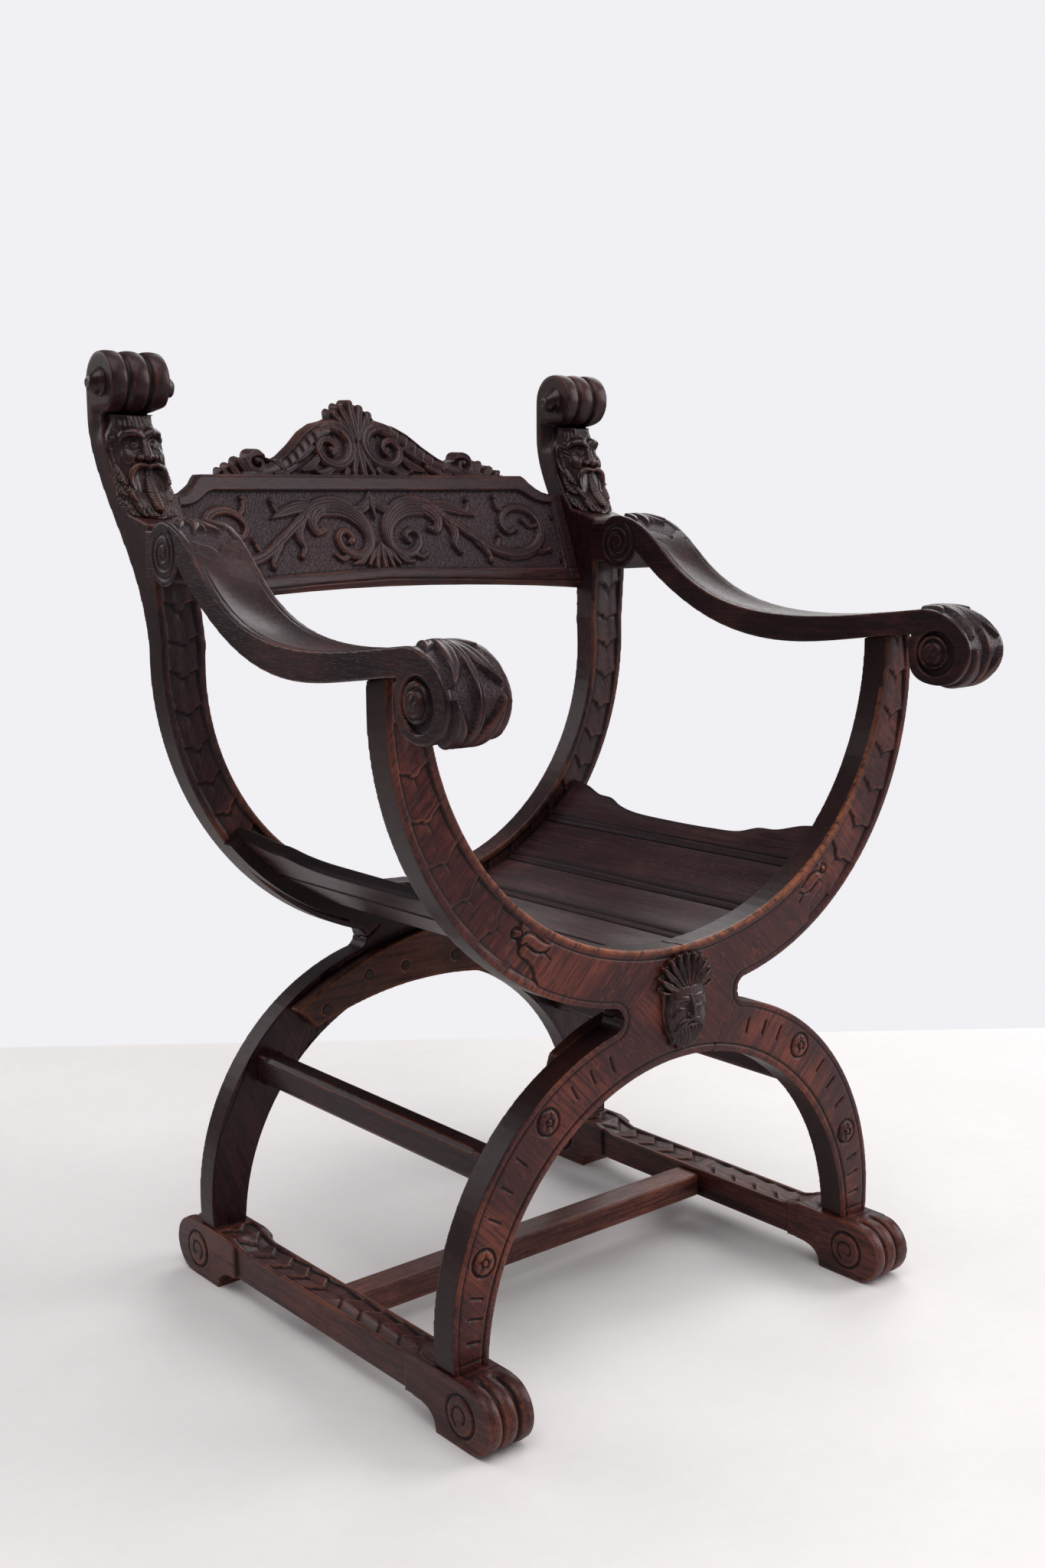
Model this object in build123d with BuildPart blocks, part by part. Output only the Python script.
"""Carved oak armchair of Savonarola pattern: two curved X frames, a bowed back and a dished board seat.

Units are millimetres. X runs across the chair, Y from front to back, Z up from the floor.
The origin lies on the floor, under the middle of the whole chair.
"""

import os
from math import asin, copysign, cos, radians, sin, sqrt, tan

from build123d import *

os.makedirs("parts", exist_ok=True)

# ---- Clearances -----------------------------------------------------------------
LAP_GAP = 0.2            # open line at the shoulders of the half laps
MORTISE_GAP = 0.15       # cheek clearance around every tenon
END_GAP = 1.0            # glue space past the end of every tenon, dowel and screw
BOARD_GAP = 0.8          # between neighbouring seat boards
BOARD_END_GAP = 0.3      # between a seat board and the frame it butts against
PANEL_GAP = 0.2          # between the back panel and each post

# ---- Stance ---------------------------------------------------------------------
FRONT_Y = -230.2         # front face of the front frame
FRAME_SPACING = 426.0    # front face of one frame to front face of the other
FRAME_THICKNESS = 30.0
REAR_Y = FRONT_Y + FRAME_SPACING
FRONT_BACK_Y = FRONT_Y + FRAME_THICKNESS

# ---- Legs and crossing, alike in both frames ------------------------------------
LEG_BASE_Z = 62.5        # legs stand on the runners at this height
ARCH_TOP_Z = 299.0       # underside of the crossing
ARCH_RADIUS = 247.0
LEG_WIDTH = 40.0         # across the foot of a leg
LEG_OUTER_RADIUS = 260.0
CROTCH_TIP_X = 78.0      # deepest point of the notch between leg and arm of the X
CROTCH_Z = 352.0
CROTCH_RADIUS = 13.0
LAP_LOW_X = 45.0         # where the lower lap shoulder meets the arch
LAP_HIGH_X = 3.0         # where the upper lap shoulder meets the seat curve

# ---- Front frame, above the crossing --------------------------------------------
FRONT_LOW_Z = 411.0      # lowest point of the open curve
FRONT_FLAT_HALF = 102.0  # half width of its flatter bottom arc
FRONT_FLAT_RADIUS = 360.0
FRONT_SPRING_Z = 694.0   # the curve turns upright here
FRONT_INNER_X = 302.4
FRONT_UPRIGHT_WIDTH = 40.3
FRONT_OUTER_RADIUS = 306.0

# ---- Rear frame and posts -------------------------------------------------------
REAR_LOW_Z = 409.0
REAR_FLAT_HALF = 50.0
REAR_FLAT_RADIUS = 330.0
REAR_SPRING_Z = 697.0
REAR_INNER_X = 268.0
REAR_UPRIGHT_WIDTH = 51.0
REAR_OUTER_RADIUS = 335.0
POST_INNER_X = 272.0     # inner faces of the posts, from the panel upward
POST_INNER_Z = 736.0
POST_WIDTH = 65.0        # at the head
POST_WIDE_Z = 925.0      # full width is reached here
POST_LEDGE_Z = 820.0     # the carved face block stands on this ledge
POST_LEDGE_DEPTH = 42.0
POST_LEDGE_RISE = 12.0
POST_FRONT = ((55.0, 850.0), (68.0, 874.0), (78.0, 909.0))   # depth and height up the slim post's front
POST_NECK_SETBACK = 6.0     # the neck lies behind the middle of the rolled head
POST_NECK_GAP = 0.2         # and this far below it
POST_BACK = ((71.0, 822.0), (106.0, 900.0))   # depth and height along the raked back
HEAD_RADIUS = 31.4       # rolled head of each post
HEAD_DEPTH = 76.0        # its centre, behind the front face of the rear frame
HEAD_Z = 964.6

# ---- Laps, dowels and pegs ------------------------------------------------------
LAP_DOWEL_RADIUS = 5.0
LAP_DOWEL_X = 22.0
LAP_DOWEL_Z = 340.0
LAP_DOWEL_LENGTH = 26.0
PEG_RADIUS = 5.5
PEG_POINTS = ((36.0, 316.0), (87.0, 314.0), (144.0, 285.0))
PEG_INTO_FRAME = 14.0

# ---- Runners --------------------------------------------------------------------
RUNNER_X = 265.0
RUNNER_FOOT_WIDTH = 50.0
RUNNER_WAIST_WIDTH = 42.0
RUNNER_SCROLL_RADIUS = 31.0
RUNNER_FRONT_REACH = 25.0    # scroll centre ahead of the front frame
RUNNER_REAR_REACH = 48.0     # scroll centre behind the front face of the rear frame
RUNNER_PAD_REACH = 27.0      # inner end of the front pad behind the front face
RUNNER_REAR_PAD = 8.0        # inner end of the rear pad ahead of the rear frame
RUNNER_WAIST_TOP_Z = 55.0
RUNNER_WAIST_LOW_Z = 22.0
RUNNER_SLOPE_LENGTH = 26.0   # length over which the top dips
RUNNER_SLOPE_START = 60.0    # start of the dip behind the front face
RUNNER_SLOPE_REAR = 30.0     # start of the dip ahead of the rear frame
RUNNER_SWEEP = 55.0          # length of the curved rise beside each pad
FOOT_TENON_WIDTH = 26.0
FOOT_TENON_THICKNESS = 14.0
FOOT_TENON_LENGTH = 34.0

# ---- Rails ----------------------------------------------------------------------
SIDE_RAIL_X = 213.0
SIDE_RAIL_WIDTH = 26.0
SIDE_RAIL_LOW_Z = 215.0
SIDE_RAIL_HEIGHT = 32.0
SIDE_TENON_WIDTH = 12.0
SIDE_TENON_HEIGHT = 20.0
SIDE_TENON_LENGTH = 18.0
STRETCHER_REACH = 232.0      # centre line behind the front face
STRETCHER_WIDTH = 34.0
STRETCHER_HEIGHT = 27.0
STRETCHER_LOW_Z = 22.5
STRETCHER_TENON_WIDTH = 22.0
STRETCHER_TENON_HEIGHT = 13.0
STRETCHER_TENON_LENGTH = 24.0

# ---- Braces behind the arches ---------------------------------------------------
BRACE_THICKNESS = 16.0
BRACE_LOW_Z = 296.0
BRACE_HEIGHT = 58.0
BRACE_LOWER_CORNER = (158.0, 267.0)
# Middle of each brace's top curve, then the corners of its outer end.
BRACE_ENDS = {
    "front": ((90.0, 341.5), (134.0, 321.0), (139.0, 306.0), (157.0, 290.0)),
    "rear": ((98.0, 331.0), (165.0, 301.0), (184.0, 291.0), (172.0, 282.0)),
}

# ---- Seat -----------------------------------------------------------------------
SEAT_LOW_Z = 390.0
SEAT_RADIUS = 306.5
BOARD_THICKNESS = 14.0
BOARD_ANGLES = (0.0, 10.9, 24.3, 38.3, 50.7)   # joints, in degrees from straight down
# Shaped edge of the outer boards: distance from the front or rear end, and width there.
SIDE_BOARD_FRONT_EDGE = (
    (0.0, 58.0), (20.0, 55.0), (50.0, 45.0), (75.0, 43.0), (98.0, 34.5), (140.0, 32.0),
)
SIDE_BOARD_REAR_EDGE = (
    (190.0, 32.0), (130.0, 34.5), (102.0, 40.0), (80.0, 48.5), (58.0, 50.5), (30.0, 60.0), (0.0, 66.0),
)
LEDGER_THICKNESS = 16.0
LEDGER_DEPTH = 13.0
LEDGER_SCREW_ANGLES = (17.0, 42.0)
SCREW_RADIUS = 2.0
SCREW_HEAD_RADIUS = 4.0
COUNTERSINK = 90.0
SCREW_LENGTH = 30.0

# ---- Arms -----------------------------------------------------------------------
ARM_SPLAY = 3.1              # degrees, the arms open towards the front
ARM_REAR_X = 301.0           # centre line where the arm meets the post
ARM_WIDTH = 64.0
ARM_SCROLL_REACH = 40.0      # rear scroll centre ahead of the post
ARM_SCROLL_Z = 791.0
ARM_SCROLL_RADIUS = 32.0
ARM_BLOCK_HEIGHT = 46.0      # of the stub that joins the round scroll to the post
# Side view of an arm: its rear part by distance forward from the post and height.
ARM_UNDERSIDE_REAR = ((70.0, 781.0), (134.0, 732.0), (204.0, 699.0), (293.0, 684.0))
ARM_TOP_REAR = ((46.0, 822.4), (86.0, 806.0), (133.0, 765.0), (204.0, 727.0), (293.0, 713.0))
# Its front part by distance ahead of the front frame's face and height.
ARM_UNDERSIDE_FRONT = ((-50.0, 689.0), (44.0, 699.5))
ARM_TOP_FRONT = ((-50.0, 715.0), (45.0, 724.5))
ARM_VOLUTE = ((82.0, 716.0), (107.0, 683.0), (94.0, 655.0), (66.0, 647.0), (36.0, 662.0), (32.0, 685.0))
ARM_VOLUTE_RETURN = (1.0, 0.3)   # direction in which the volute runs back into the underside
ARM_TENON_WIDTH = 24.0
ARM_TENON_THICKNESS = 14.0
ARM_TENON_TOP_Z = 708.0
ARM_TENON_ROOT_Z = 670.0
ARM_DOWEL_RADIUS = 6.0
ARM_DOWEL_LENGTH = 40.0
ARM_DOWEL_SPREAD = 22.0      # two dowels, one above the other

# ---- Back -----------------------------------------------------------------------
BACK_RAKE = 19.8             # degrees from upright
BACK_DEPTH = 24.3            # foot of the panel's front face behind the rear frame's front face
BACK_FOOT_Z = 744.0
BACK_BOW = 20.0              # the panel curves back by this much at its middle
PANEL_THICKNESS = 21.0
PANEL_END_LOW_Z = 736.0
PANEL_LOW_Z = 747.0          # its lower edge arches up to this at the middle
PANEL_END_Z = 850.0
PANEL_END_FLAT = 16.0        # level stretch beside each post
PANEL_HOLLOW = (240.0, 856.0)
PANEL_SHOULDER_X = 224.0
PANEL_TOP_Z = 872.0
CREST_THICKNESS = 18.0
CREST_OUTLINE = (
    (197.0, 872.0), (193.0, 880.0), (183.0, 884.0), (168.0, 889.0), (157.0, 897.0), (143.0, 901.0),
    (129.0, 896.0), (120.0, 890.0), (108.0, 894.0), (89.0, 907.0), (71.0, 922.0), (54.0, 931.0),
    (40.0, 936.0), (28.0, 945.0), (16.0, 951.0), (0.0, 960.0),
)
PANEL_DOWEL_RADIUS = 5.0
PANEL_DOWEL_LENGTH = 40.0
PANEL_DOWEL_HEIGHTS = (28.0, 84.0)
CREST_DOWEL_RADIUS = 3.0
CREST_DOWEL_LENGTH = 28.0
CREST_DOWEL_X = 90.0

# ---- Carved blocks and bosses ---------------------------------------------------
MASK_CENTRE_Z = 354.0
MASK_WIDTH = 74.0
MASK_HEIGHT = 102.0
MASK_RELIEF = 16.0
MASK_EDGE = 7.0
POST_MASK_WIDTH = 58.0
POST_MASK_PROFILE = ((24.0, 838.0), (36.0, 852.0), (41.0, 870.0), (44.0, 890.0), (46.0, 912.0), (58.0, 930.0))
POST_MASK_CHIN_DEPTH = 18.0
POST_MASK_REACH = 30.0      # of its rounded front ahead of the mask's leaning axis
POST_MASK_AXIS = ((47.0, 822.0), (86.0, 933.0))   # depth and height at the axis's foot and top
BOSS_RADIUS = 16.0
BOSS_TIP_RADIUS = 5.0
BOSS_HEIGHT = 10.0
BOSS_STEM_RADIUS = 4.0
BOSS_STEM_LENGTH = 14.0

SIDES = {"left": -1, "right": 1}
REACH = 1200.0               # longer than the chair, for cutting solids


def elevation(y):
    """Plane at depth y that faces the front: its x is X and its y is Z."""
    return Plane.XZ.offset(-y)


def profile(x):
    """Plane at x that faces the right: its x is Y and its y is Z."""
    return Plane.YZ.offset(x)


def drill(plane, points, radius, depth):
    """Bore round holes with room past their ends; a minus depth goes behind the plane."""
    with BuildSketch(plane) as holes:
        with Locations(*points):
            Circle(radius)
    extrude(holes.sketch, amount=depth + copysign(END_GAP, depth), mode=Mode.SUBTRACT)


def mortise(plane, centre, width, height, depth):
    """Cut a rectangular mortise into the current part, with cheek and end clearance."""
    with BuildSketch(plane) as hole:
        with Locations(centre):
            Rectangle(width + 2 * MORTISE_GAP, height + 2 * MORTISE_GAP)
    extrude(hole.sketch, amount=depth + copysign(END_GAP, depth), mode=Mode.SUBTRACT)


def tenon(plane, centre, width, height, length):
    """Add a rectangular tenon to the current part; a minus length goes behind the plane."""
    with BuildSketch(plane) as stub:
        with Locations(centre):
            Rectangle(width, height)
    extrude(stub.sketch, amount=length)


def save(part, name):
    part.label = name
    export_step(part, f"parts/{name}.step")


# ---- Shared places --------------------------------------------------------------
LEG_INNER_X = sqrt(ARCH_RADIUS**2 - (LEG_BASE_Z - (ARCH_TOP_Z - ARCH_RADIUS)) ** 2)
LEG_CENTRE_X = LEG_INNER_X + LEG_WIDTH / 2
FRONT_OUTER_X = FRONT_INNER_X + FRONT_UPRIGHT_WIDTH
FRONT_UPRIGHT_X = (FRONT_INNER_X + FRONT_OUTER_X) / 2
FRAME_MIDDLE = FRAME_THICKNESS / 2
POST_OUTER_X = POST_INNER_X + POST_WIDTH
POST_CENTRE_X = (POST_INNER_X + POST_OUTER_X) / 2
SIDE_RAIL_MIDDLE_Z = SIDE_RAIL_LOW_Z + SIDE_RAIL_HEIGHT / 2
STRETCHER_Y = FRONT_Y + STRETCHER_REACH
STRETCHER_MIDDLE_Z = STRETCHER_LOW_Z + STRETCHER_HEIGHT / 2
RUNNER_INNER_X = RUNNER_X - RUNNER_WAIST_WIDTH / 2
SEAT_CENTRE_Z = SEAT_LOW_Z + SEAT_RADIUS
LEDGER_RADIUS = SEAT_RADIUS + BOARD_THICKNESS + LEDGER_DEPTH
SCREW_HEAD_HEIGHT = (SCREW_HEAD_RADIUS - SCREW_RADIUS) / tan(radians(COUNTERSINK / 2))
ARM_DOWEL_HEIGHTS = (ARM_SCROLL_Z - ARM_DOWEL_SPREAD / 2, ARM_SCROLL_Z + ARM_DOWEL_SPREAD / 2)
INNER_FACES = {"front": (FRONT_BACK_Y, -1), "rear": (REAR_Y, 1)}   # face's depth, way into the frame


def seat_point(angle, radius=SEAT_RADIUS):
    """Point on the seat curve, the angle in degrees from straight down."""
    return (radius * sin(radians(angle)), SEAT_CENTRE_Z - radius * cos(radians(angle)))


def underside_corner(before, joint, after):
    """Where the undersides of the boards on both sides of a joint meet."""
    first, second = radians(before + joint) / 2, radians(joint + after) / 2
    near = SEAT_RADIUS * cos(radians(joint - before) / 2) + BOARD_THICKNESS
    far = SEAT_RADIUS * cos(radians(after - joint) / 2) + BOARD_THICKNESS
    across = (cos(first) * far - cos(second) * near) / sin(second - first)
    down = (near * sin(second) - far * sin(first)) / sin(second - first)
    return (across, SEAT_CENTRE_Z - down)


def both_sides(points):
    """The points and their mirror images across the middle of the chair."""
    return [(side * x, z) for side in SIDES.values() for x, z in points]


SCREW_CIRCLE = LEDGER_RADIUS - LEDGER_DEPTH / 2
SCREW_POINTS = both_sides([seat_point(angle, SCREW_CIRCLE) for angle in LEDGER_SCREW_ANGLES])
PEGS = both_sides(PEG_POINTS)
LAP_DOWELS = both_sides([(LAP_DOWEL_X, LAP_DOWEL_Z)])
RAKE = Vector(0, sin(radians(BACK_RAKE)), cos(radians(BACK_RAKE)))
BACK_FOOT = Vector(0, REAR_Y + BACK_DEPTH, BACK_FOOT_Z)
BACKWARD = Vector(0, cos(radians(BACK_RAKE)), -sin(radians(BACK_RAKE)))
PANEL_MIDDLE = BACK_FOOT + BACKWARD * (PANEL_THICKNESS / 2)
PANEL_DOWELS = [
    ((PANEL_MIDDLE + RAKE * height).Y, (PANEL_MIDDLE + RAKE * height).Z) for height in PANEL_DOWEL_HEIGHTS
]
ARM_DOWELS = both_sides([(POST_CENTRE_X, height) for height in ARM_DOWEL_HEIGHTS])


# ---- Shared outlines ------------------------------------------------------------
def frame_outline(low_z, flat_half, flat_radius, outer_radius, inner_line, outer_line):
    """Face view of one whole frame: both legs, the crossing and both uprights."""
    flat_end = (flat_half, low_z + flat_radius - sqrt(flat_radius**2 - flat_half**2))
    flat_slope = asin(flat_half / flat_radius)
    crotch_low = (CROTCH_TIP_X + CROTCH_RADIUS, CROTCH_Z - CROTCH_RADIUS)
    crotch_high = (CROTCH_TIP_X + CROTCH_RADIUS, CROTCH_Z + CROTCH_RADIUS)
    leg_inner = (LEG_INNER_X, LEG_BASE_Z)
    leg_outer = (LEG_INNER_X + LEG_WIDTH, LEG_BASE_Z)
    with BuildSketch() as outline:
        with BuildLine():
            RadiusArc((0, ARCH_TOP_Z), leg_inner, ARCH_RADIUS)
            Line(leg_inner, leg_outer)
            RadiusArc(crotch_low, leg_outer, LEG_OUTER_RADIUS)
            ThreePointArc(crotch_low, (CROTCH_TIP_X, CROTCH_Z), crotch_high)
            RadiusArc(crotch_high, outer_line[0], -outer_radius)
            Polyline(*outer_line, *reversed(inner_line))
            TangentArc(flat_end, inner_line[0], tangent=(cos(flat_slope), sin(flat_slope)))
            RadiusArc((0, low_z), flat_end, -flat_radius)
            Line((0, low_z), (0, ARCH_TOP_Z))
        make_face()
        mirror(about=Plane.YZ)
    return outline.sketch


def lap_region(low_z, side, grow=0.0):
    """What the through member fills of its own half layer; it rises to the given side."""
    high_run = (LAP_HIGH_X + CROTCH_TIP_X, low_z - CROTCH_Z)
    low_run = (CROTCH_TIP_X - LAP_LOW_X, CROTCH_Z - ARCH_TOP_Z)
    past_high = (LAP_HIGH_X + high_run[0] / 2, low_z + high_run[1] / 2)
    past_low = (LAP_LOW_X - low_run[0] / 2, ARCH_TOP_Z - low_run[1] / 2)
    points = (
        (-CROTCH_TIP_X, CROTCH_Z), past_high, (past_high[0], REACH), (REACH, REACH), (REACH, CROTCH_Z),
        (CROTCH_TIP_X, CROTCH_Z), past_low, (past_low[0], 0), (-REACH, 0), (-REACH, CROTCH_Z),
    )
    with BuildSketch() as region:
        with BuildLine():
            Polyline(*((side * x, z) for x, z in points), close=True)
        make_face()
        if grow:
            offset(amount=grow, kind=Kind.INTERSECTION)
    return region.sketch


def cut_lap(front_y, low_z, side):
    """Halve the current frame blank, leaving the member whose upright is on the given side."""
    layers = (front_y, front_y + FRAME_MIDDLE)
    own_y, other_y = layers if side > 0 else reversed(layers)
    with BuildSketch(elevation(own_y)) as outside:
        Rectangle(2 * REACH, 2 * REACH)
        add(lap_region(low_z, side), mode=Mode.SUBTRACT)
    extrude(outside.sketch, amount=-FRAME_MIDDLE, mode=Mode.SUBTRACT)
    with BuildSketch(elevation(other_y)) as inside:
        add(lap_region(low_z, -side, LAP_GAP))
    extrude(inside.sketch, amount=-FRAME_MIDDLE, mode=Mode.SUBTRACT)


def bore_frame(inner_y, front_y, into):
    """Rail mortises, screw and peg holes in a frame's inner face, and its lap dowels."""
    face = elevation(inner_y)
    for side in SIDES.values():
        rail_end = (side * SIDE_RAIL_X, SIDE_RAIL_MIDDLE_Z)
        mortise(face, rail_end, SIDE_TENON_WIDTH, SIDE_TENON_HEIGHT, into * SIDE_TENON_LENGTH)
    drill(face, SCREW_POINTS, SCREW_RADIUS + MORTISE_GAP, into * (SCREW_LENGTH - LEDGER_THICKNESS))
    drill(face, PEGS, PEG_RADIUS, into * PEG_INTO_FRAME)
    drill(elevation(front_y + FRAME_THICKNESS), LAP_DOWELS, LAP_DOWEL_RADIUS, LAP_DOWEL_LENGTH)


def arm_plane(side):
    """Upright plane along the middle of an arm: its x runs forward from the post."""
    turn = side * radians(ARM_SPLAY)
    forward = (sin(turn), -cos(turn), 0)
    return Plane(origin=(side * ARM_REAR_X, REAR_Y, 0), x_dir=forward, z_dir=(-cos(turn), -sin(turn), 0))


def ahead(points):
    """Points measured from the front frame's face, moved into an arm's side view."""
    return [(FRAME_SPACING + distance, z) for distance, z in points]


def back_section(height):
    """Plane square to the slope at a height up it: its x is X and its y points backward."""
    return Plane(origin=BACK_FOOT, x_dir=(1, 0, 0), z_dir=RAKE).offset(height)


def bow_depth(x):
    """How far the back's front face lies behind its chord at x."""
    radius = (POST_INNER_X**2 + BACK_BOW**2) / (2 * BACK_BOW)
    return sqrt(radius**2 - x**2) - (radius - BACK_BOW)


def back_face_y(x, z):
    """Depth of the back's front face at a point seen from the front."""
    lean = radians(BACK_RAKE)
    return REAR_Y + BACK_DEPTH + (z - BACK_FOOT_Z) * tan(lean) + bow_depth(x) / cos(lean)


def bowed_blank(thickness):
    """Uncut blank for the back, raked and bowed in plan, as the current part."""
    with BuildSketch(back_section(-REACH)) as section:
        with BuildLine():
            front = ThreePointArc((-POST_INNER_X, 0), (0, BACK_BOW), (POST_INNER_X, 0))
            rear = ThreePointArc(
                (-POST_INNER_X, thickness), (0, BACK_BOW + thickness), (POST_INNER_X, thickness)
            )
            Line(front @ 0, rear @ 0)
            Line(front @ 1, rear @ 1)
        make_face()
    extrude(section.sketch, amount=2 * REACH)


CREST_MIDDLE_DEPTH = CREST_THICKNESS / 2 / cos(radians(BACK_RAKE))
CREST_DOWELS = both_sides([(CREST_DOWEL_X, back_face_y(CREST_DOWEL_X, PANEL_TOP_Z) + CREST_MIDDLE_DEPTH)])


ARM_UNDERSIDE = [*ARM_UNDERSIDE_REAR, *ahead(ARM_UNDERSIDE_FRONT)]
ARM_TOP = [*ARM_TOP_REAR, *ahead(ARM_TOP_FRONT)]

# ---- Front frame: two members halved over each other ------------------------------
inner_line = [(FRONT_INNER_X, FRONT_SPRING_Z), (FRONT_INNER_X, ARM_SCROLL_Z)]
outer_line = [(FRONT_OUTER_X, FRONT_SPRING_Z), (FRONT_OUTER_X, ARM_SCROLL_Z)]
for name, side in SIDES.items():
    with BuildPart() as front_member:
        with BuildSketch(elevation(FRONT_Y)):
            add(frame_outline(FRONT_LOW_Z, FRONT_FLAT_HALF, FRONT_FLAT_RADIUS, FRONT_OUTER_RADIUS,
                              inner_line, outer_line))
        extrude(amount=-FRAME_THICKNESS)
        cut_lap(FRONT_Y, FRONT_LOW_Z, side)
        with BuildSketch(arm_plane(side)):
            with BuildLine():
                under = Spline(*ARM_UNDERSIDE)
                Polyline(under @ 0, ((under @ 0).X, REACH), ((under @ 1).X, REACH), under @ 1)
            make_face()
        extrude(amount=ARM_WIDTH, both=True, mode=Mode.SUBTRACT)
        tenon(Plane.XY.offset(ARM_TENON_TOP_Z), (side * FRONT_UPRIGHT_X, FRONT_Y + FRAME_MIDDLE),
              ARM_TENON_WIDTH, ARM_TENON_THICKNESS, ARM_TENON_ROOT_Z - ARM_TENON_TOP_Z)
        tenon(Plane.XY.offset(LEG_BASE_Z), (-side * LEG_CENTRE_X, FRONT_Y + FRAME_MIDDLE),
              FOOT_TENON_WIDTH, FOOT_TENON_THICKNESS, -FOOT_TENON_LENGTH)
        bore_frame(FRONT_BACK_Y, FRONT_Y, 1)
    save(front_member.part, f"front_member_{name}")

# ---- Rear frame: the uprights run on up into raked posts ---------------------------
HEAD_Y = REAR_Y + HEAD_DEPTH
REAR_BACK_Y = REAR_Y + FRAME_THICKNESS
POST_SEAT = [(REAR_Y, POST_LEDGE_Z), (REAR_Y + POST_LEDGE_DEPTH, POST_LEDGE_Z + POST_LEDGE_RISE)]
POST_SLOPE = [(REAR_Y + depth, z) for depth, z in POST_FRONT]
POST_NECK = (HEAD_Y + POST_NECK_SETBACK, HEAD_Z - HEAD_RADIUS - POST_NECK_GAP)
REAR_OUTER_X = REAR_INNER_X + REAR_UPRIGHT_WIDTH
inner_line = [(REAR_INNER_X, REAR_SPRING_Z), (POST_INNER_X, POST_INNER_Z), (POST_INNER_X, REACH)]
outer_line = [(REAR_OUTER_X, REAR_SPRING_Z), (POST_OUTER_X, POST_WIDE_Z), (POST_OUTER_X, REACH)]
for name, side in SIDES.items():
    with BuildPart() as rear_member:
        with BuildSketch(elevation(REAR_Y)):
            add(frame_outline(REAR_LOW_Z, REAR_FLAT_HALF, REAR_FLAT_RADIUS, REAR_OUTER_RADIUS,
                              inner_line, outer_line))
        extrude(amount=-2 * HEAD_DEPTH)
        with BuildSketch(Plane.YZ):
            with BuildLine():
                back = Spline((REAR_BACK_Y, REAR_SPRING_Z), *((REAR_Y + depth, z) for depth, z in POST_BACK),
                              (HEAD_Y + HEAD_RADIUS, HEAD_Z), tangents=((0, 1), (0, 1)))
                Polyline(back @ 0, (REAR_BACK_Y, LEG_BASE_Z), (REAR_Y, LEG_BASE_Z), *POST_SEAT, *POST_SLOPE,
                         POST_NECK, (HEAD_Y, HEAD_Z), back @ 1)
            make_face()
            with Locations((HEAD_Y, HEAD_Z)):
                Circle(HEAD_RADIUS)
        extrude(amount=REACH, both=True, mode=Mode.INTERSECT)
        cut_lap(REAR_Y, REAR_LOW_Z, side)
        with BuildSketch(elevation(REAR_BACK_Y)):
            with Locations((-side * REACH, REACH)):
                Rectangle(2 * REACH, 2 * REACH)
        extrude(amount=-REACH, mode=Mode.SUBTRACT)
        tenon(Plane.XY.offset(LEG_BASE_Z), (-side * LEG_CENTRE_X, REAR_Y + FRAME_MIDDLE),
              FOOT_TENON_WIDTH, FOOT_TENON_THICKNESS, -FOOT_TENON_LENGTH)
        bore_frame(REAR_Y, REAR_Y, -1)
        drill(elevation(REAR_Y), ARM_DOWELS, ARM_DOWEL_RADIUS, -ARM_DOWEL_LENGTH / 2)
        drill(profile(side * POST_INNER_X), PANEL_DOWELS, PANEL_DOWEL_RADIUS, side * PANEL_DOWEL_LENGTH / 2)
        for face_x, inward in ((side * POST_INNER_X, side), (side * POST_OUTER_X, -side)):
            drill(profile(face_x), [(HEAD_Y, HEAD_Z)], BOSS_STEM_RADIUS, inward * BOSS_STEM_LENGTH)
    save(rear_member.part, f"rear_member_{name}")

# ---- Carved face blocks, glued on -------------------------------------------------
with BuildPart() as front_mask:
    with BuildSketch(elevation(FRONT_Y)):
        with Locations((0, MASK_CENTRE_Z)):
            Ellipse(MASK_WIDTH / 2, MASK_HEIGHT / 2)
    extrude(amount=MASK_RELIEF)
    fillet(front_mask.edges().group_by(Axis.Y)[0], MASK_EDGE)
save(front_mask.part, "front_mask")

for name, side in SIDES.items():
    with BuildPart() as post_mask:
        with BuildSketch(profile(side * POST_CENTRE_X)):
            with BuildLine():
                chin = Line(*POST_SEAT, mode=Mode.PRIVATE) @ (POST_MASK_CHIN_DEPTH / POST_LEDGE_DEPTH)
                Polyline(chin, *((REAR_Y + depth, z) for depth, z in POST_MASK_PROFILE), POST_NECK,
                         *reversed(POST_SLOPE), POST_SEAT[1], chin)
            make_face()
        extrude(amount=POST_MASK_WIDTH / 2, both=True)
        foot, top = (Vector(side * POST_CENTRE_X, REAR_Y + depth, z) for depth, z in POST_MASK_AXIS)
        with BuildSketch(Plane(foot)):
            Ellipse(POST_MASK_WIDTH / 2, POST_MASK_REACH)
        extrude(amount=(top - foot).length, dir=top - foot, mode=Mode.INTERSECT)
    save(post_mask.part, f"post_mask_{name}")

# ---- Turned bosses on both ends of the post heads ----------------------------------
with BuildPart() as head_bosses:
    for side in SIDES.values():
        for face_x, outward in ((side * POST_INNER_X, -side), (side * POST_OUTER_X, side)):
            stem_x = face_x - outward * BOSS_STEM_LENGTH
            tip_x = face_x + outward * BOSS_HEIGHT
            with BuildSketch(Plane.XY.offset(HEAD_Z)):
                with BuildLine():
                    Polyline((stem_x, HEAD_Y), (stem_x, HEAD_Y + BOSS_STEM_RADIUS),
                             (face_x, HEAD_Y + BOSS_STEM_RADIUS), (face_x, HEAD_Y + BOSS_RADIUS),
                             (tip_x, HEAD_Y + BOSS_TIP_RADIUS), (tip_x, HEAD_Y), close=True)
                make_face()
            revolve(axis=Axis((0, HEAD_Y, HEAD_Z), (1, 0, 0)))
save(head_bosses.part, "head_bosses")

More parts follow.
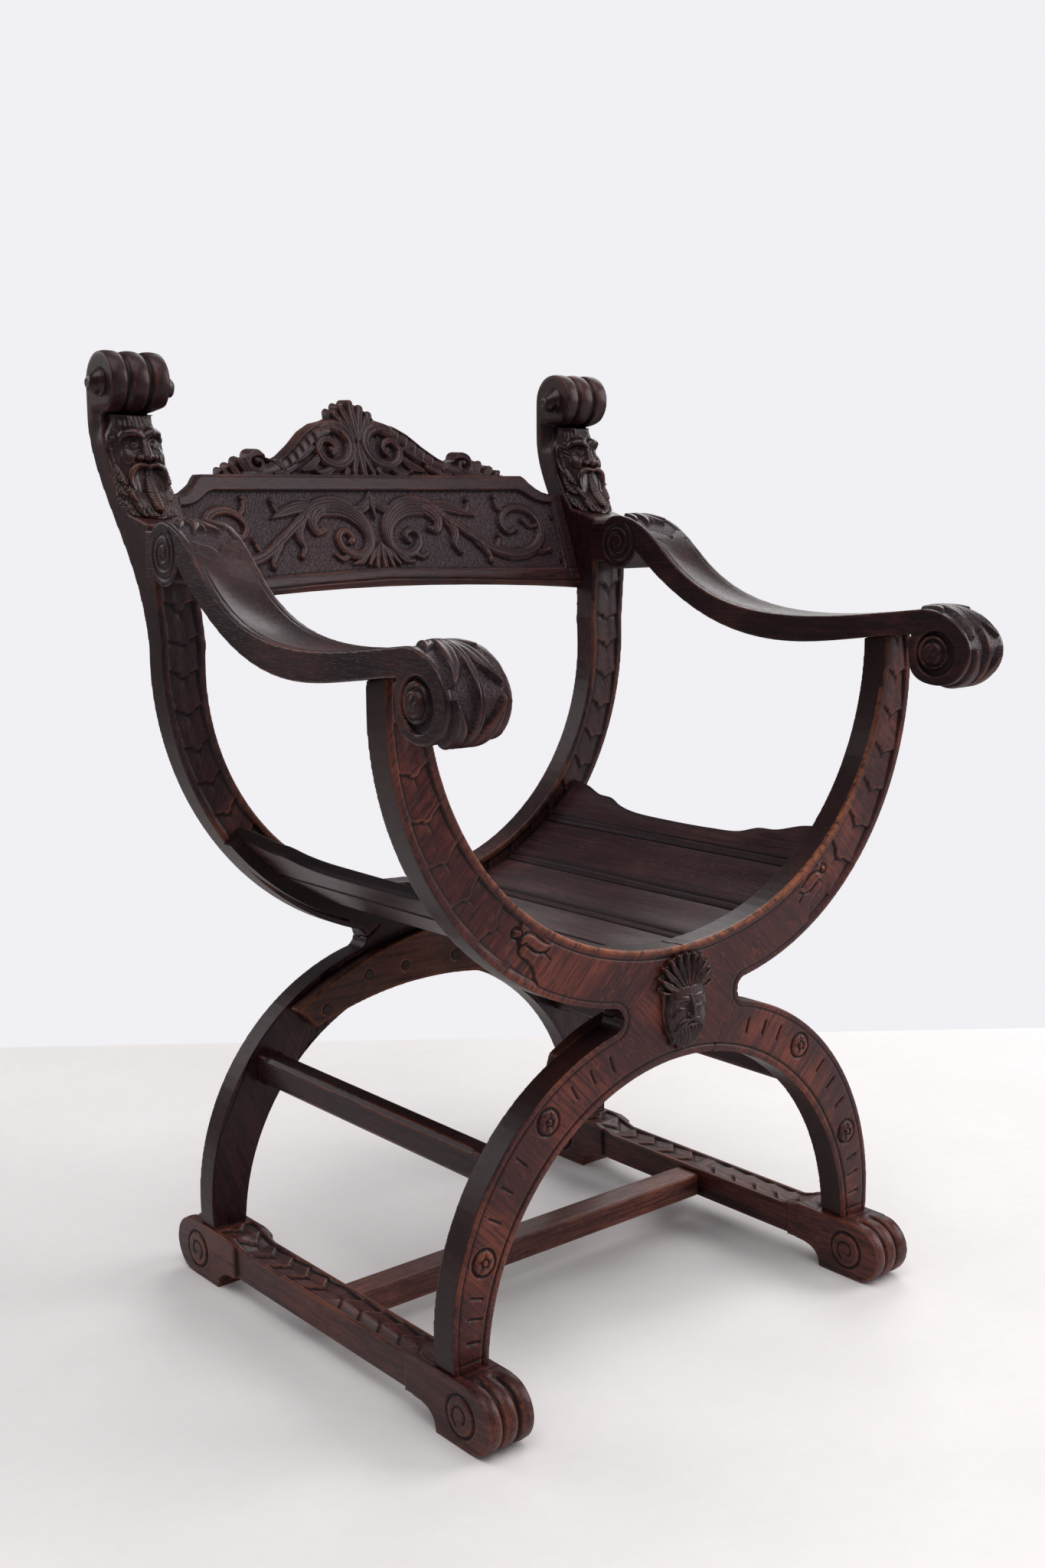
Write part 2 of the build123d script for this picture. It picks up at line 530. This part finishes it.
# ---- Runners ----------------------------------------------------------------------
SCROLL_FRONT_Y = FRONT_Y - RUNNER_FRONT_REACH
SCROLL_REAR_Y = REAR_Y + RUNNER_REAR_REACH
RUNNER_MIDDLE_Y = (SCROLL_FRONT_Y + SCROLL_REAR_Y) / 2
RUNNER_LENGTH = SCROLL_REAR_Y - SCROLL_FRONT_Y + 2 * RUNNER_SCROLL_RADIUS
PAD_FRONT_Y = FRONT_Y + RUNNER_PAD_REACH
PAD_REAR_Y = REAR_Y - RUNNER_REAR_PAD
DIP_FRONT_Y = FRONT_Y + RUNNER_SLOPE_START
DIP_REAR_Y = REAR_Y - RUNNER_SLOPE_REAR
WAIST_LENGTH = DIP_REAR_Y - DIP_FRONT_Y - RUNNER_SLOPE_LENGTH
WAIST_MIDDLE_Y = (DIP_FRONT_Y + DIP_REAR_Y) / 2
for name, side in SIDES.items():
    with BuildPart() as runner:
        with BuildSketch(Plane.YZ):
            with BuildLine():
                rise_front = Spline((PAD_FRONT_Y, 0), (PAD_FRONT_Y + RUNNER_SWEEP, RUNNER_WAIST_LOW_Z),
                                    tangents=((0, 1), (1, 0)))
                rise_rear = Spline((PAD_REAR_Y, 0), (PAD_REAR_Y - RUNNER_SWEEP, RUNNER_WAIST_LOW_Z),
                                   tangents=((0, 1), (-1, 0)))
                Line(rise_front @ 1, rise_rear @ 1)
                Polyline(rise_rear @ 0, (SCROLL_REAR_Y, 0), (SCROLL_REAR_Y, LEG_BASE_Z),
                         (DIP_REAR_Y, LEG_BASE_Z), (DIP_REAR_Y - RUNNER_SLOPE_LENGTH, RUNNER_WAIST_TOP_Z),
                         (DIP_FRONT_Y + RUNNER_SLOPE_LENGTH, RUNNER_WAIST_TOP_Z), (DIP_FRONT_Y, LEG_BASE_Z),
                         (SCROLL_FRONT_Y, LEG_BASE_Z), (SCROLL_FRONT_Y, 0), rise_front @ 0)
            make_face()
            with Locations((SCROLL_FRONT_Y, RUNNER_SCROLL_RADIUS), (SCROLL_REAR_Y, RUNNER_SCROLL_RADIUS)):
                Circle(RUNNER_SCROLL_RADIUS)
        extrude(amount=REACH, both=True)
        with BuildSketch():
            with Locations((side * RUNNER_X, RUNNER_MIDDLE_Y)):
                Rectangle(RUNNER_FOOT_WIDTH, RUNNER_LENGTH)
            for edge in (-RUNNER_FOOT_WIDTH / 2, RUNNER_FOOT_WIDTH / 2):
                with Locations((side * RUNNER_X + edge, WAIST_MIDDLE_Y)):
                    Rectangle(RUNNER_FOOT_WIDTH - RUNNER_WAIST_WIDTH, WAIST_LENGTH, mode=Mode.SUBTRACT)
        extrude(amount=REACH, mode=Mode.INTERSECT)
        for frame_y in (FRONT_Y, REAR_Y):
            mortise(Plane.XY.offset(LEG_BASE_Z), (side * LEG_CENTRE_X, frame_y + FRAME_MIDDLE),
                    FOOT_TENON_WIDTH, FOOT_TENON_THICKNESS, -FOOT_TENON_LENGTH)
        mortise(profile(side * RUNNER_INNER_X), (STRETCHER_Y, STRETCHER_MIDDLE_Z),
                STRETCHER_TENON_WIDTH, STRETCHER_TENON_HEIGHT, side * STRETCHER_TENON_LENGTH)
    save(runner.part, f"runner_{name}")

# ---- Rails between the frames and between the runners ------------------------------
for name, side in SIDES.items():
    centre = (side * SIDE_RAIL_X, SIDE_RAIL_MIDDLE_Z)
    with BuildPart() as side_rail:
        tenon(elevation(REAR_Y), centre, SIDE_RAIL_WIDTH, SIDE_RAIL_HEIGHT, REAR_Y - FRONT_BACK_Y)
        tenon(elevation(REAR_Y + SIDE_TENON_LENGTH), centre, SIDE_TENON_WIDTH, SIDE_TENON_HEIGHT,
              REAR_Y - FRONT_BACK_Y + 2 * SIDE_TENON_LENGTH)
    save(side_rail.part, f"side_rail_{name}")

with BuildPart() as cross_stretcher:
    centre = (STRETCHER_Y, STRETCHER_MIDDLE_Z)
    tenon(profile(-RUNNER_INNER_X), centre, STRETCHER_WIDTH, STRETCHER_HEIGHT, 2 * RUNNER_INNER_X)
    tenon(profile(-RUNNER_INNER_X - STRETCHER_TENON_LENGTH), centre, STRETCHER_TENON_WIDTH,
          STRETCHER_TENON_HEIGHT, 2 * (RUNNER_INNER_X + STRETCHER_TENON_LENGTH))
save(cross_stretcher.part, "cross_stretcher")

# ---- Braces pegged behind the front arch and before the rear arch ------------------
for name, (face_y, way) in INNER_FACES.items():
    middle, *corners = BRACE_ENDS[name]
    with BuildPart() as brace:
        with BuildSketch(elevation(face_y)):
            with BuildLine():
                ThreePointArc((0, BRACE_LOW_Z + BRACE_HEIGHT), middle, corners[0])
                Polyline(*corners, BRACE_LOWER_CORNER)
                TangentArc((0, BRACE_LOW_Z), BRACE_LOWER_CORNER, tangent=(1, 0))
                Line((0, BRACE_LOW_Z), (0, BRACE_LOW_Z + BRACE_HEIGHT))
            make_face()
            mirror(about=Plane.YZ)
        extrude(amount=way * BRACE_THICKNESS)
        drill(elevation(face_y), PEGS, PEG_RADIUS, way * BRACE_THICKNESS)
    save(brace.part, f"{name}_brace")

with BuildPart() as brace_pegs:
    for face_y, way in INNER_FACES.values():
        with BuildSketch(elevation(face_y - way * BRACE_THICKNESS)):
            with Locations(*PEGS):
                Circle(PEG_RADIUS)
        extrude(amount=-way * (BRACE_THICKNESS + PEG_INTO_FRAME))
save(brace_pegs.part, "brace_pegs")

with BuildPart() as lap_dowels:
    for frame_y in (FRONT_Y, REAR_Y):
        with BuildSketch(elevation(frame_y + FRAME_THICKNESS)):
            with Locations(*LAP_DOWELS):
                Circle(LAP_DOWEL_RADIUS)
        extrude(amount=LAP_DOWEL_LENGTH)
save(lap_dowels.part, "lap_dowels")

# ---- Seat: curved ledgers screwed inside the frames, boards glued on them ------------
LEDGER_LOW = (0, SEAT_CENTRE_Z - LEDGER_RADIUS)
JOINT_ANGLES = (-BOARD_ANGLES[1], *BOARD_ANGLES)
LAST_TURN = (BOARD_ANGLES[-1] + BOARD_ANGLES[-2]) / 2
TIP_X, TIP_Z = seat_point(BOARD_ANGLES[-1])
DROP_X, DROP_Z = seat_point(LAST_TURN, BOARD_THICKNESS)
LEDGER_TOP = [underside_corner(*JOINT_ANGLES[i:i + 3]) for i in range(len(JOINT_ANGLES) - 2)]
LEDGER_TOP += [(TIP_X + DROP_X, TIP_Z + DROP_Z - SEAT_CENTRE_Z), seat_point(BOARD_ANGLES[-1], LEDGER_RADIUS)]
for place, (face_y, way) in INNER_FACES.items():
    for name, side in SIDES.items():
        with BuildPart() as ledger:
            with BuildSketch(elevation(face_y)):
                with BuildLine():
                    top = Polyline(*((side * x, z) for x, z in LEDGER_TOP))
                    RadiusArc(LEDGER_LOW, top @ 1, -side * LEDGER_RADIUS)
                    Line(LEDGER_LOW, top @ 0)
                make_face()
            extrude(amount=way * LEDGER_THICKNESS)
            for x, z in SCREW_POINTS:
                with Locations(Plane(origin=(x, face_y - way * LEDGER_THICKNESS, z), z_dir=(0, -way, 0))):
                    CounterSinkHole(SCREW_RADIUS + MORTISE_GAP, SCREW_HEAD_RADIUS, LEDGER_THICKNESS,
                                    COUNTERSINK)
        save(ledger.part, f"seat_ledger_{place}_{name}")

with BuildPart() as ledger_screws:
    for face_y, way in INNER_FACES.values():
        for x, z in SCREW_POINTS:
            tip_y = face_y + way * (SCREW_LENGTH - LEDGER_THICKNESS)
            head_y = -way * SCREW_LENGTH
            neck_y = -way * (SCREW_LENGTH - SCREW_HEAD_HEIGHT)
            with BuildSketch(Plane(origin=(x, tip_y, z))):
                with BuildLine():
                    Polyline((0, 0), (SCREW_RADIUS, 0), (SCREW_RADIUS, neck_y), (SCREW_HEAD_RADIUS, head_y),
                             (0, head_y), close=True)
                make_face()
            revolve(axis=Axis((x, tip_y, z), (0, 1, 0)))
save(ledger_screws.part, "ledger_screws")

BOARD_FRONT_Y = FRONT_BACK_Y + BOARD_END_GAP
BOARD_LENGTH = REAR_Y - BOARD_END_GAP - BOARD_FRONT_Y
SHAPED_EDGE = [*SIDE_BOARD_FRONT_EDGE, *((BOARD_LENGTH - x, y) for x, y in SIDE_BOARD_REAR_EDGE)]
SIDE_BOARD = len(BOARD_ANGLES) - 1
for name, side in SIDES.items():
    for number, (start, end) in enumerate(zip(BOARD_ANGLES, BOARD_ANGLES[1:]), start=1):
        low, high = Vector(*seat_point(start)), Vector(*seat_point(end))
        slope = (high - low).normalized()
        width = (high - low).length - BOARD_GAP / 2
        edge = SHAPED_EDGE if number == SIDE_BOARD else [(0, width), (BOARD_LENGTH, width)]
        board_plane = Plane(origin=(side * low.X, BOARD_FRONT_Y, low.Y), x_dir=(0, 1, 0),
                            z_dir=(side * slope.Y, 0, -slope.X))
        with BuildPart() as seat_board:
            with BuildSketch(board_plane):
                with BuildLine():
                    outer = Spline(*((x, side * y) for x, y in edge))
                    Polyline(outer @ 0, (0, side * BOARD_GAP / 2), (BOARD_LENGTH, side * BOARD_GAP / 2),
                             outer @ 1)
                make_face()
            extrude(amount=BOARD_THICKNESS)
        save(seat_board.part, f"seat_board_{name}_{number}")

# ---- Arms -------------------------------------------------------------------------
for name, side in SIDES.items():
    with BuildPart() as arm:
        with BuildSketch(arm_plane(side)):
            with BuildLine():
                under = Spline(*ARM_UNDERSIDE)
                over = Spline(*ARM_TOP)
                Spline(over @ 1, *ahead(ARM_VOLUTE), under @ 1, tangents=(over % 1, ARM_VOLUTE_RETURN))
                Polyline(over @ 0, (ARM_SCROLL_REACH, ARM_SCROLL_Z), under @ 0)
            make_face()
            with Locations((ARM_SCROLL_REACH, ARM_SCROLL_Z)):
                Circle(ARM_SCROLL_RADIUS)
            with Locations((0, ARM_SCROLL_Z)):
                Rectangle(2 * ARM_SCROLL_REACH, ARM_BLOCK_HEIGHT)
        extrude(amount=ARM_WIDTH / 2, both=True)
        with BuildSketch(elevation(REAR_Y)):
            Rectangle(REACH, 2 * REACH)
        extrude(amount=-REACH, mode=Mode.SUBTRACT)
        mortise(Plane.XY.offset(ARM_TENON_ROOT_Z), (side * FRONT_UPRIGHT_X, FRONT_Y + FRAME_MIDDLE),
                ARM_TENON_WIDTH, ARM_TENON_THICKNESS, ARM_TENON_TOP_Z - ARM_TENON_ROOT_Z)
        drill(elevation(REAR_Y), ARM_DOWELS, ARM_DOWEL_RADIUS, ARM_DOWEL_LENGTH / 2)
    save(arm.part, f"arm_{name}")

with BuildPart() as arm_dowels:
    with BuildSketch(elevation(REAR_Y)):
        with Locations(*ARM_DOWELS):
            Circle(ARM_DOWEL_RADIUS)
    extrude(amount=ARM_DOWEL_LENGTH / 2, both=True)
save(arm_dowels.part, "arm_dowels")

# ---- Back: bowed panel between the posts, carved cresting on top of it ---------------
PANEL_END_X = POST_INNER_X - PANEL_GAP
PANEL_FLAT_X = PANEL_END_X - PANEL_END_FLAT
with BuildPart() as back_panel:
    bowed_blank(PANEL_THICKNESS)
    with BuildSketch(elevation(REAR_Y)):
        with BuildLine():
            ThreePointArc((-PANEL_END_X, PANEL_END_LOW_Z), (0, PANEL_LOW_Z), (PANEL_END_X, PANEL_END_LOW_Z))
            for side in SIDES.values():
                Spline((side * PANEL_SHOULDER_X, PANEL_TOP_Z), (side * PANEL_HOLLOW[0], PANEL_HOLLOW[1]),
                       (side * PANEL_FLAT_X, PANEL_END_Z), tangents=((side, 0), (side, 0)))
                Polyline((side * PANEL_FLAT_X, PANEL_END_Z), (side * PANEL_END_X, PANEL_END_Z),
                         (side * PANEL_END_X, PANEL_END_LOW_Z))
            Line((-PANEL_SHOULDER_X, PANEL_TOP_Z), (PANEL_SHOULDER_X, PANEL_TOP_Z))
        make_face()
    extrude(amount=REACH, both=True, mode=Mode.INTERSECT)
    drill(Plane.XY.offset(PANEL_TOP_Z), CREST_DOWELS, CREST_DOWEL_RADIUS, -CREST_DOWEL_LENGTH / 2)
    for side in SIDES.values():
        drill(profile(side * POST_INNER_X), PANEL_DOWELS, PANEL_DOWEL_RADIUS, -side * PANEL_DOWEL_LENGTH / 2)
save(back_panel.part, "back_panel")

with BuildPart() as back_cresting:
    bowed_blank(CREST_THICKNESS)
    with BuildSketch(elevation(REAR_Y)):
        with BuildLine():
            Spline(*CREST_OUTLINE)
            Spline(*((-x, z) for x, z in CREST_OUTLINE))
            Line((-CREST_OUTLINE[0][0], PANEL_TOP_Z), (CREST_OUTLINE[0][0], PANEL_TOP_Z))
        make_face()
    extrude(amount=REACH, both=True, mode=Mode.INTERSECT)
    drill(Plane.XY.offset(PANEL_TOP_Z), CREST_DOWELS, CREST_DOWEL_RADIUS, CREST_DOWEL_LENGTH / 2)
save(back_cresting.part, "back_cresting")

with BuildPart() as panel_dowels:
    for side in SIDES.values():
        with BuildSketch(profile(side * POST_INNER_X)):
            with Locations(*PANEL_DOWELS):
                Circle(PANEL_DOWEL_RADIUS)
        extrude(amount=PANEL_DOWEL_LENGTH / 2, both=True)
save(panel_dowels.part, "panel_dowels")

with BuildPart() as crest_dowels:
    with BuildSketch(Plane.XY.offset(PANEL_TOP_Z)):
        with Locations(*CREST_DOWELS):
            Circle(CREST_DOWEL_RADIUS)
    extrude(amount=CREST_DOWEL_LENGTH / 2, both=True)
save(crest_dowels.part, "crest_dowels")
